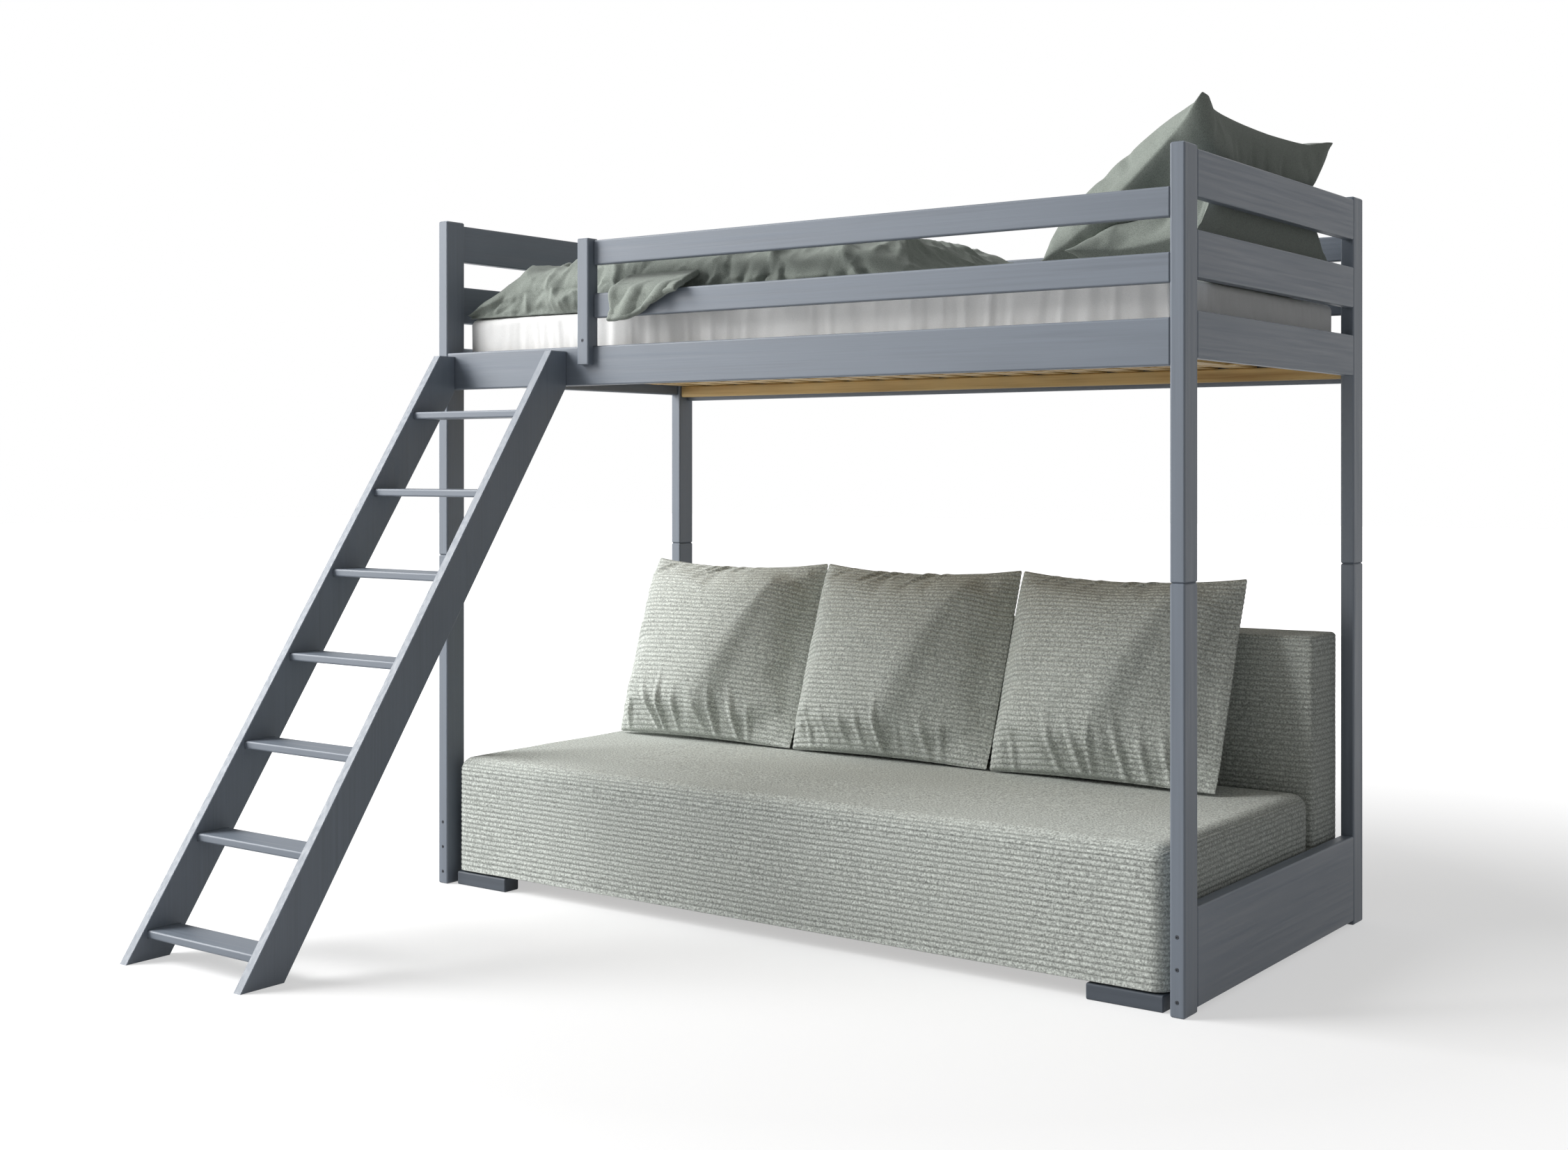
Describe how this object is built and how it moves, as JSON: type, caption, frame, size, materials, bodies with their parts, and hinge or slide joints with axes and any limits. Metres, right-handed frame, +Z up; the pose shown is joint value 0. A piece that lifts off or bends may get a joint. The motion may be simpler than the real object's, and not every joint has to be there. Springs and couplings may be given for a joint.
{
  "type": "loft bed with pull-out sofa",
  "caption": "Painted pine loft bed with guard rails, leaning ladder, slatted base and bedding over an upholstered sofa whose seat pulls out.",
  "frame": {"origin": "on the floor under the middle of the four posts", "axes": "+X along the bed to the pillow end, +Y to the back, away from the ladder, +Z up"},
  "size_m": [2.08, 1.9852, 1.8399],
  "materials": {
    "grey_painted_pine": "blue-grey satin paint over planed pine with faint grain",
    "natural_pine": "planed bare pine",
    "plywood": "bare plywood",
    "corduroy": "grey-green ribbed corduroy",
    "sage_bed_linen": "grey-green woven bed linen",
    "white_sheet": "white fitted sheet",
    "bolt_steel": "dark zinc-plated steel"
  },
  "bodies": {
    "bed_frame": {"post_front_left_lower": "grey_painted_pine", "post_front_left_upper": "grey_painted_pine", "post_back_left_lower": "grey_painted_pine", "post_back_left_upper": "grey_painted_pine", "post_front_right_lower": "grey_painted_pine", "post_front_right_upper": "grey_painted_pine", "post_back_right_lower": "grey_painted_pine", "post_back_right_upper": "grey_painted_pine", "side_rail_front": "grey_painted_pine", "side_rail_back": "grey_painted_pine", "guard_post": "grey_painted_pine", "guard_rail_front_top": "grey_painted_pine", "guard_rail_front_middle": "grey_painted_pine", "guard_rail_back_top": "grey_painted_pine", "guard_rail_back_middle": "grey_painted_pine", "end_rail_left_lower": "grey_painted_pine", "end_rail_left_middle": "grey_painted_pine", "end_rail_left_top": "grey_painted_pine", "end_rail_right_lower": "grey_painted_pine", "end_rail_right_middle": "grey_painted_pine", "end_rail_right_top": "grey_painted_pine", "end_board_left": "grey_painted_pine", "end_board_right": "grey_painted_pine", "ladder_stringer_left": "grey_painted_pine", "ladder_stringer_right": "grey_painted_pine", "ladder_tread_1": "grey_painted_pine", "ladder_tread_2": "grey_painted_pine", "ladder_tread_3": "grey_painted_pine", "ladder_tread_4": "grey_painted_pine", "ladder_tread_5": "grey_painted_pine", "ladder_tread_6": "grey_painted_pine", "ladder_tread_7": "grey_painted_pine", "slat_ledger_front": "natural_pine", "slat_ledger_back": "natural_pine", "slat_mat": "natural_pine", "sofa_base_side_left": "natural_pine", "sofa_base_side_right": "natural_pine", "sofa_base_rail_front": "natural_pine", "sofa_base_rail_back": "natural_pine", "sofa_base_middle": "natural_pine", "sofa_deck": "plywood", "back_cushion": "corduroy", "duvet": "sage_bed_linen", "bed_pillow_lower": "sage_bed_linen", "bed_pillow_upper": "sage_bed_linen", "mattress": "white_sheet", "guard_post_bolt": "bolt_steel", "end_board_bolt_left_1": "bolt_steel", "end_board_bolt_left_2": "bolt_steel", "end_board_bolt_left_3": "bolt_steel", "end_board_bolt_right_1": "bolt_steel", "end_board_bolt_right_2": "bolt_steel", "end_board_bolt_right_3": "bolt_steel"},
    "sofa_seat": {"seat_cushion": "corduroy", "seat_board": "plywood", "seat_foot_left": "grey_painted_pine", "seat_foot_right": "grey_painted_pine", "throw_pillow_left": "corduroy", "throw_pillow_middle": "corduroy", "throw_pillow_right": "corduroy"}
  },
  "joints": [
    {"name": "seat_pull", "type": "slide", "parent": "bed_frame", "child": "sofa_seat", "axis": [0, -1, 0], "range_m": [0, 0.355]}
  ]
}
